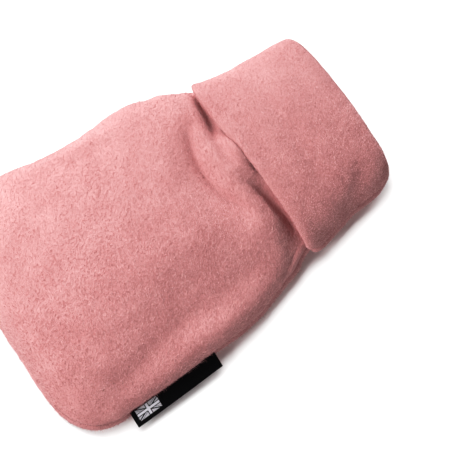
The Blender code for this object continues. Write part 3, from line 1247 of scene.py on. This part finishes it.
@dataclass(frozen=True)
class Pile:
    """Brushed fibres that lie in swirls on one face of a panel's cloth.

    Each is a slim closed spike that stands on the cloth and leans over. Its lean is
    counted in degrees from upright, and its lie in radians on the cloth, from the way
    along the panel's path. The lengths and widths are how much these vary, and a stray
    fibre is a longer one that stands up. The tones go from 0, in shade, to 1.
    """

    name: str
    way: ClothFace
    count: int
    seed: int
    length: float = 2.0 * MM
    width: float = 0.17 * MM
    lean: float = 72.0
    lie: float = -0.95
    # How rough the nap is, which also scales how deep the painted shade between the fibres is.
    roughness_and_shade: float = 1.0

    # The fibres' sizes, and the swirls that turn their lie.
    sunk: float = 0.25 * MM
    lengths: tuple[float, float] = (0.6, 1.35)
    widths: tuple[float, float] = (0.7, 1.3)
    swirl: float = 9 * MM
    broad_swirl: int = 5
    swirl_turn: float = 0.5
    lie_spread: float = 0.5
    lean_spread: float = 9.0

    # Where the nap is brushed more roughly, so that fewer fibres lie flat, and where the painted shade
    # between the fibres is deepened: towards the near side, away from the light.
    rough_lean: float = 10.0
    rough_start: float = -50 * MM
    rough_width: float = 110 * MM
    rough_least: float = 0.45
    rough_gain: float = 1.35

    # The tones.
    root_tone: float = 0.23
    tip_tone: float = 0.65
    mean_shade: float = 0.38
    shade_spread: float = 0.48
    clump: float = 2.6 * MM
    clump_shade: float = 0.2
    clump_lattice: int = 128

    # The strays.
    stray_share: float = 0.10
    stray_length: float = 1.6
    stray_width: float = 0.55
    stray_lean: float = 38.0

    @staticmethod
    def spike() -> tuple[np.ndarray, np.ndarray]:
        """Make one spike of unit radius and length.

        Returns:
            Its points, and the numbers of its faces' corners.
        """
        model = bmesh.new()
        bmesh.ops.create_cone(model, cap_ends=True, segments=3, radius1=1.0, radius2=0.0, depth=1.0)
        model.verts.index_update()
        points = np.array([vert.co for vert in model.verts]) + (0.0, 0.0, 0.5)
        faces = np.array([[vert.index for vert in face.verts] for face in model.faces])
        model.free()
        return points, faces

    def roots(
        self, cloth: Cloth, keep: np.ndarray, rng: np.random.Generator
    ) -> tuple[np.ndarray, ...]:
        """Strew the fibres' roots evenly over a face of the cloth.

        Args:
            cloth: The cloth.
            keep: Which cells of its grid have fibres.
            rng: The source of chance.

        Returns:
            The roots, and the directions along the cloth, across it and out of it there.
        """
        face = cloth.faces[self.way]
        along = face[1:, :-1] - face[:-1, :-1]
        across = face[:-1, 1:] - face[:-1, :-1]
        area = np.linalg.norm(np.cross(across, along), axis=-1) * keep
        total = np.cumsum(area.ravel())
        spaced = (np.arange(self.count) + rng.uniform(0, 1, self.count)) / self.count
        cell = np.searchsorted(total, spaced * total[-1])
        row, column = np.unravel_index(np.minimum(cell, area.size - 1), area.shape)
        down, side = rng.uniform(0.0, 1.0, (2, self.count, 1))
        near = face[row, column] * (1 - side) + face[row, column + 1] * side
        far = face[row + 1, column] * (1 - side) + face[row + 1, column + 1] * side
        root = near * (1 - down) + far * down
        out = cloth.sheet.outward[row, column] * self.way.value
        return root, unit(along[row, column]), unit(across[row, column]), out

    def rough_and_shaded_at(self, root: np.ndarray) -> np.ndarray:
        """How roughly the nap is brushed at each root, and how deep the painted shade between its fibres
        is: both grow towards the near side, away from the light.
        """
        towards = smooth_step((root[:, 0] - self.rough_start) / self.rough_width)
        return self.roughness_and_shade * (self.rough_least + self.rough_gain * towards)

    def build(self, cloth: Cloth, keep: np.ndarray) -> bpy.types.Object:
        """Build the pile.

        Args:
            cloth: The cloth that it stands on.
            keep: Which cells of the cloth's grid have fibres.

        Returns:
            One piece of all the fibres, with each one's tone as an attribute.
        """
        rng = np.random.default_rng(self.seed)
        root, along, across, out = self.roots(cloth, keep, rng)
        lie = self.lie + Unevenness(self.swirl, seed=3).at(root) * self.swirl_turn
        lie += Unevenness(self.swirl * self.broad_swirl, seed=4).at(root) * self.swirl_turn
        lie = (lie + rng.normal(0.0, self.lie_spread, self.count))[:, None]
        flat = along * np.cos(lie) + across * np.sin(lie)
        rough_and_shaded = self.rough_and_shaded_at(root)
        stray = rng.uniform(0, 1, self.count) < self.stray_share
        lean = np.where(stray, self.stray_lean, self.lean) - self.rough_lean * (rough_and_shaded - 1)
        lean = np.radians(lean + rng.normal(0, self.lean_spread, self.count))[:, None]
        axis = unit(flat * np.sin(lean) + out * np.cos(lean))
        side = unit(np.cross(axis, out))
        other = np.cross(side, axis)
        length = self.length * rng.uniform(*self.lengths, self.count)
        length = length * np.where(stray, self.stray_length, 1.0)
        width = self.width * rng.uniform(*self.widths, self.count)
        width = width * np.where(stray, self.stray_width, 1.0)
        spike, loops = self.spike()
        points = (
            (root - out * self.sunk)[:, None]
            + side[:, None] * (spike[:, 0] * width[:, None])[..., None]
            + other[:, None] * (spike[:, 1] * width[:, None])[..., None]
            + axis[:, None] * (spike[:, 2] * length[:, None])[..., None]
        )
        points[..., 2] = np.maximum(points[..., 2], 0.0)
        faces = loops[None] + (np.arange(self.count) * len(spike))[:, None, None]
        faces = faces.reshape(-1, loops.shape[1])
        mesh = bpy.data.meshes.new(self.name)
        mesh.from_pydata(points.reshape(-1, 3).tolist(), [], faces.tolist())
        shade = self.mean_shade - self.shade_spread * np.abs(rng.normal(0.0, 1.0, self.count))
        clumps = Unevenness(self.clump, seed=6, lattice=self.clump_lattice)
        shade += clumps.at(root) * self.clump_shade
        ends = np.where(spike[:, 2] > 0.5, self.tip_tone, self.root_tone)
        # Painted shade between the fibres, deeper where the nap is rougher.
        mark(mesh, TONE, (ends[None] + (shade * rough_and_shaded)[:, None]).ravel())
        # Painted shade for the fibres in the body's hollows.
        if cloth.panel.side is Side.FRONT and self.way is ClothFace.NAPPED:
            mark(mesh, CREASE_SHADE, np.repeat(crease_shade(root[:, 0], root[:, 1]), len(spike)))
        return put_up(self.name, mesh)


# ---------------------------------------------------------------------------
# The side label
# ---------------------------------------------------------------------------


@dataclass(frozen=True)
class RibbonFinish:
    """A black woven ribbon with fine ribs, and a small flag woven into it in greys.

    The flag is laid out on its usual grid of 60 by 30 parts. The relief's three numbers
    are the heights of the ribs, of the picks across them and of the flag's weave.
    """

    name: str = "black woven ribbon"
    ground: tuple[float, float, float] = (0.0025, 0.0025, 0.003)
    pale: tuple[float, float, float] = (0.90, 0.88, 0.95)
    rib: float = 0.42 * MM
    rib_depth: float = 0.05 * MM
    flag_length: float = 19.5 * MM
    flag_height: float = 9 * MM
    flag_from_end: float = 3.6 * MM
    flag_from_seam: float = 1.0 * MM
    field_tone: float = 0.72
    thin_tone: float = 0.9
    rib_tone: float = 0.22
    relief: tuple[float, float, float] = (0.7, 0.3, 0.6)

    def material(self, label_length: float) -> bpy.types.Material:
        """Build the material.

        Args:
            label_length: Length of the ribbon, along which its UV map's first axis runs.

        Returns:
            A black cloth with the flag near the ribbon's far end.
        """
        shade = Shade(self.name)
        split = shade.node("SeparateXYZ", inputs={0: shade.node("TexCoord").outputs["UV"]})
        along = Amount(shade, split.outputs["X"])
        across = Amount(shade, split.outputs["Y"])
        ribs = self.ripple(across)
        picks = self.ripple(along)
        woven = self.flag(across, along, label_length)
        tone = woven * (1.0 - self.rib_tone + self.rib_tone * ribs)
        colour = shade.blend(tone, self.ground, self.pale)
        rib, pick, weave = self.relief
        height = (ribs * rib + picks * pick + (woven > 0.1) * weave) * self.rib_depth
        bump = shade.node("Bump", inputs={"Height": height, "Distance": 1.0, "Strength": 0.7})
        return shade.finish(
            Base_Color=colour,
            Roughness=0.75,
            Specular_IOR_Level=0.06,
            Normal=bump.outputs["Normal"],
        )

    def ripple(self, places: Amount) -> Amount:
        """Rise from 0 to 1 and fall again with each rib."""
        return (places * (2 * math.pi / self.rib)).join("SINE") * 0.5 + 0.5

    def flag(self, across: Amount, along: Amount, label_length: float) -> Amount:
        """Draw the flag's crosses.

        Args:
            across: Distance from the seam, in metres.
            along: Distance along the ribbon, in metres.
            label_length: Length of the ribbon.

        Returns:
            How pale the weave is, from 0, the black ground, to 1.
        """
        middle_along = label_length - self.flag_from_end - self.flag_length / 2
        middle_across = self.flag_from_seam + self.flag_height / 2
        x = (along - middle_along) * (60 / self.flag_length)
        y = (across - middle_across) * (30 / self.flag_height)
        wide = abs(x)
        high = abs(y)
        inside = (wide < 30.0) * (high < 15.0)
        upright_cross = (wide < 3.0).either(high < 3.0)
        cross_edge = (wide < 5.0).either(high < 5.0)
        slant = (high * 2.0 - wide) * (x * y).join("SIGN") / math.sqrt(5)
        diagonal = abs(slant) < 3.0
        thin_diagonal = (slant > 0.0) * (slant < 2.0)
        field = (1.0 - diagonal) * self.field_tone
        under_cross = (field + thin_diagonal * self.thin_tone) * (1.0 - cross_edge)
        return inside * (upright_cross + under_cross)


@dataclass(frozen=True)
class SideLabel:
    """A ribbon folded lengthwise, whose open edges are sewn into the right side seam."""

    ribbon: float = 0.7 * MM
    ribbon_gap: float = 0.4 * MM
    neck_end: float = 4.5 * MM
    base_end: float = -73 * MM
    width: float = 13.5 * MM
    droop: float = 6.5 * MM
    clearance: float = 0.8 * MM
    grain: float = 0.8 * MM
    turn_steps: int = 8
    finish: RibbonFinish = RibbonFinish()

    @property
    def length(self) -> float:
        """Length of the ribbon."""
        return self.neck_end - self.base_end

    def sheet(self, form: CoverForm) -> Sheet:
        """Lay the folded ribbon out beside the seam.

        Args:
            form: The cover's form.

        Returns:
            The ribbon, whose rows run round its fold.
        """
        radius = (self.ribbon + self.ribbon_gap) / 2
        run = self.width - self.ribbon / 2 - radius
        steps = math.ceil(run / self.grain)
        out = np.linspace(0.0, run, steps + 1)
        angles = np.linspace(0.0, math.pi, self.turn_steps + 1)[1:-1]
        away = np.concatenate([out, run + radius * np.sin(angles), out[::-1]])[:, None]
        leaf = np.full(len(out), radius)
        lift = np.concatenate([leaf, radius * np.cos(angles), -leaf])[:, None]
        y = np.linspace(self.neck_end, self.base_end, math.ceil(self.length / self.grain) + 1)[None, :]
        slope = math.asin(self.droop / self.width)
        x = form.size("right", y) + self.clearance + away * math.cos(slope) + lift * math.sin(slope)
        z = form.size("seam", y) - away * math.sin(slope) + lift * math.cos(slope)
        middle = np.stack(np.broadcast_arrays(x, y, z), axis=-1)
        outward = unit(np.cross(np.gradient(middle, axis=1), np.gradient(middle, axis=0)))
        return Sheet(middle, outward, np.full(middle.shape[:2], self.ribbon))

    def build(self, form: CoverForm) -> bpy.types.Object:
        """Build the label and give it its finish.

        Args:
            form: The cover's form.

        Returns:
            The label.
        """
        sheet = self.sheet(form)
        piece = sheet.solid("woven_label", sheet.face(ClothFace.NAPPED), sheet.face(ClothFace.REVERSE))
        material = self.finish.material(self.length)
        piece.data.materials.append(material)
        piece.data.materials.append(material)
        return piece


# ---------------------------------------------------------------------------
# Light, floor and camera
# ---------------------------------------------------------------------------


@dataclass(frozen=True)
class Camera:
    """The photograph's point of view."""

    azimuth: float = 54.9
    elevation: float = 67.5
    distance: float = 0.9766
    lens: float = 100.0
    sensor: float = 36.0
    target: tuple[float, float, float] = (0.025, 0.070, 0.020)

    def axes(self) -> tuple[Vector, Vector, Vector]:
        """Work out how the camera stands.

        Returns:
            Its way right, its way up and its way back.
        """
        turn = math.radians(self.azimuth)
        tilt = math.radians(self.elevation)
        level = math.cos(tilt)
        back = Vector((math.sin(turn) * level, -math.cos(turn) * level, math.sin(tilt)))
        right = Vector((math.cos(turn), math.sin(turn), 0.0))
        return right, back.cross(right), back

    def build(self) -> None:
        """Put the camera up and make it the scene's."""
        right, up, back = self.axes()
        data = bpy.data.cameras.new("camera")
        data.lens = self.lens
        data.sensor_width = self.sensor
        camera = put_up("camera", data)
        place = Matrix((right, up, back)).transposed().to_4x4()
        place.translation = Vector(self.target) + back * self.distance
        camera.matrix_world = place
        bpy.context.scene.camera = camera


@dataclass(frozen=True)
class ToneCurve:
    """The photograph's tones: its shadows deepen and its lights level off towards white.

    Each row of the table is the light that comes in and the light that is shown, where 1
    is the picture's white.
    """

    white: float = 1.15
    table: tuple[tuple[float, float], ...] = (
        (0.0, 0.0),
        (0.05, 0.036),
        (0.1, 0.078),
        (0.2, 0.168),
        (0.3, 0.275),
        (0.42, 0.425),
        (0.6, 0.615),
        (0.75, 0.75),
        (0.9, 0.855),
        (1.03, 0.935),
        (1.15, 1.0),
    )

    def build(self) -> None:
        """Have the picture shown with this curve."""
        view = bpy.context.scene.view_settings
        view.view_transform = "Standard"
        view.use_curve_mapping = True
        mapping = view.curve_mapping
        mapping.white_level = (self.white,) * 3
        curve = mapping.curves[3]
        curve.points[0].location = (0.0, 0.0)
        curve.points[-1].location = (1.0, 1.0)
        for light, shown in self.table[1:-1]:
            curve.points.new(light / self.white, shown)
        mapping.update()


class Reach(Enum):
    """What a light falls on, as the state of its link to the table."""

    TABLE_ONLY = "INCLUDE"
    ALL_BUT_TABLE = "EXCLUDE"


@dataclass(frozen=True)
class SoftLight:
    """A square soft light, aimed at the cover from an angle seen in the picture.

    Its turn is counted on the table from the picture's right, anticlockwise, and its
    height above the table, both in degrees.
    """

    name: str
    turn: float
    height: float
    distance: float
    size: float
    power: float

    def build(self, camera: Camera) -> bpy.types.Object:
        """Put the light up.

        Args:
            camera: The camera whose picture the turn is counted in.

        Returns:
            The light.
        """
        angle = math.radians(camera.azimuth + self.turn)
        height = math.radians(self.height)
        level = math.cos(height)
        way = Vector((math.cos(angle) * level, math.sin(angle) * level, math.sin(height)))
        data = bpy.data.lights.new(self.name, "AREA")
        data.energy = self.power
        data.size = self.size
        light = put_up(self.name, data)
        light.location = Vector(camera.target) + way * self.distance
        light.rotation_euler = way.to_track_quat("Z", "Y").to_euler()
        return light


@dataclass(frozen=True)
class Studio:
    """A bright white table: four soft lights shape the cover, and three others the table."""

    camera: Camera
    lights: tuple[SoftLight, ...] = (
        SoftLight("key light", turn=190.0, height=40.0, distance=0.8, size=0.6, power=8.7),
        SoftLight("top light", turn=100.0, height=22.0, distance=1.0, size=0.5, power=13.6),
        SoftLight("low light", turn=275.0, height=12.0, distance=1.0, size=0.5, power=2.2),
        SoftLight("rim light", turn=325.0, height=10.0, distance=1.0, size=0.5, power=0.6),
    )
    table_lights: tuple[SoftLight, ...] = (
        SoftLight("table key", turn=137.0, height=66.0, distance=1.2, size=1.05, power=38.0),
        SoftLight("table light, base end", turn=222.0, height=35.0, distance=1.0, size=0.4, power=6.0),
        SoftLight("table light, mouth end", turn=52.0, height=35.0, distance=1.0, size=0.4, power=5.0),
    )
    fill: float = 0.16
    bounce: float = 0.5
    horizon: float = 0.05
    sky_colour: tuple[float, float, float, float] = (1.0, 0.99, 0.98, 1.0)
    floor_size: float = 6.0
    floor_colour: tuple[float, float, float] = (0.92, 0.92, 0.92)
    patch_colour: tuple[float, float, float] = (0.9, 0.9, 0.9)
    patch_share: float = 0.1
    patch: float = 25 * MM

    def build(self) -> None:
        """Put up the table, the lights and the fill."""
        floor = self.table()
        self.surroundings()
        for light in self.lights:
            self.aim(light.build(self.camera), floor, Reach.ALL_BUT_TABLE)
        for light in self.table_lights:
            self.aim(light.build(self.camera), floor, Reach.TABLE_ONLY)

    def surroundings(self) -> None:
        """Light the cover a little from all around, and more from the white table below."""
        world = bpy.data.worlds.new("surroundings")
        world.use_nodes = True
        nodes = world.node_tree.nodes
        places = nodes.new("ShaderNodeTexCoord")
        split = nodes.new("ShaderNodeSeparateXYZ")
        strength = nodes.new("ShaderNodeMapRange")
        edges = {"From Min": -self.horizon, "From Max": self.horizon}
        for name, value in {**edges, "To Min": self.bounce, "To Max": self.fill}.items():
            strength.inputs[name].default_value = value
        link = world.node_tree.links.new
        link(places.outputs["Generated"], split.inputs[0])
        link(split.outputs["Z"], strength.inputs["Value"])
        link(strength.outputs["Result"], nodes["Background"].inputs["Strength"])
        nodes["Background"].inputs["Color"].default_value = self.sky_colour
        bpy.context.scene.world = world

    def table(self) -> bpy.types.Object:
        """Make the table top.

        Returns:
            The table, which no diffuse ray from the cover meets.
        """
        shade = Shade("white table")
        patches = shade.noise(shade.places(), self.patch) * self.patch_share
        colour = shade.blend(patches, self.floor_colour, self.patch_colour)
        model = bmesh.new()
        bmesh.ops.create_grid(model, x_segments=1, y_segments=1, size=self.floor_size / 2)
        mesh = bpy.data.meshes.new("table")
        model.to_mesh(mesh)
        model.free()
        mesh.materials.append(shade.finish(Base_Color=colour, Roughness=0.8))
        floor = put_up("table", mesh)
        floor.visible_diffuse = False
        return floor

    @staticmethod
    def aim(light: bpy.types.Object, floor: bpy.types.Object, reach: Reach) -> None:
        """Have a light fall on only the table, or on all but the table.

        Args:
            light: The light.
            floor: The table.
            reach: Which of the two.
        """
        group = bpy.data.collections.new(f"{light.name} reach")
        group.objects.link(floor)
        group.collection_objects[0].light_linking.link_state = reach.value
        light.light_linking.receiver_collection = group


# ---------------------------------------------------------------------------
# The whole
# ---------------------------------------------------------------------------


PILES = {
    Side.FRONT: (
        Pile("front_nap_1", ClothFace.NAPPED, count=48000, seed=41),
        Pile("front_nap_2", ClothFace.NAPPED, count=48000, seed=47),
        Pile(
            "front_collar_nap",
            ClothFace.REVERSE,
            count=48000,
            seed=53,
            length=1.5 * MM,
            width=0.18 * MM,
            lean=66.0,
            lie=-2.18,
            roughness_and_shade=1.25,
        ),
    ),
    Side.BACK: (
        Pile("back_nap", ClothFace.NAPPED, count=22000, seed=59),
        Pile(
            "back_collar_nap",
            ClothFace.REVERSE,
            count=14000,
            seed=61,
            length=1.5 * MM,
            width=0.15 * MM,
            lean=68.0,
            lie=-2.18,
        ),
    ),
}


def settle(piece: bpy.types.Object, slot: str, *nodes: str) -> None:
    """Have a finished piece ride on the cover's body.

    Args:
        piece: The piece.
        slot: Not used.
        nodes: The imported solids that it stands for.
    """
    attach(piece, "root")
    if nodes:
        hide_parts(*nodes)
    log.info("%s: %d faces", piece.name, len(piece.data.polygons))


def main() -> None:
    """Build the cover and its studio, and report each piece."""
    logging.basicConfig(level=logging.INFO, format="%(message)s")
    camera = Camera()
    camera.build()
    ToneCurve().build()
    Studio(camera).build()
    nap = NAP.material()
    reverse = REVERSE.material()
    panels = (
        Panel(Side.FRONT, grain=1.7 * MM, hidden_grain=3 * MM),
        Panel(Side.BACK, grain=2.6 * MM, hidden_grain=4 * MM, roll_height=2.0 * MM, roll_width=4.4 * MM),
    )
    fibres = PileFinish().material()
    for panel in panels:
        cloth = panel.build()
        cloth.piece.data.materials.append(nap)
        cloth.piece.data.materials.append(reverse)
        settle(cloth.piece, "fleece", panel.node)
        for pile in PILES[panel.side]:
            cells = cloth.body_cells() if pile.way is ClothFace.NAPPED else cloth.collar_cells()
            piece = pile.build(cloth, cells)
            piece.data.materials.append(fibres)
            settle(piece, "fleece")
    label = SideLabel()
    piece = label.build(panels[0].form)
    settle(piece, "woven_ribbon", "side_label")


if __name__ == "__main__":
    main()
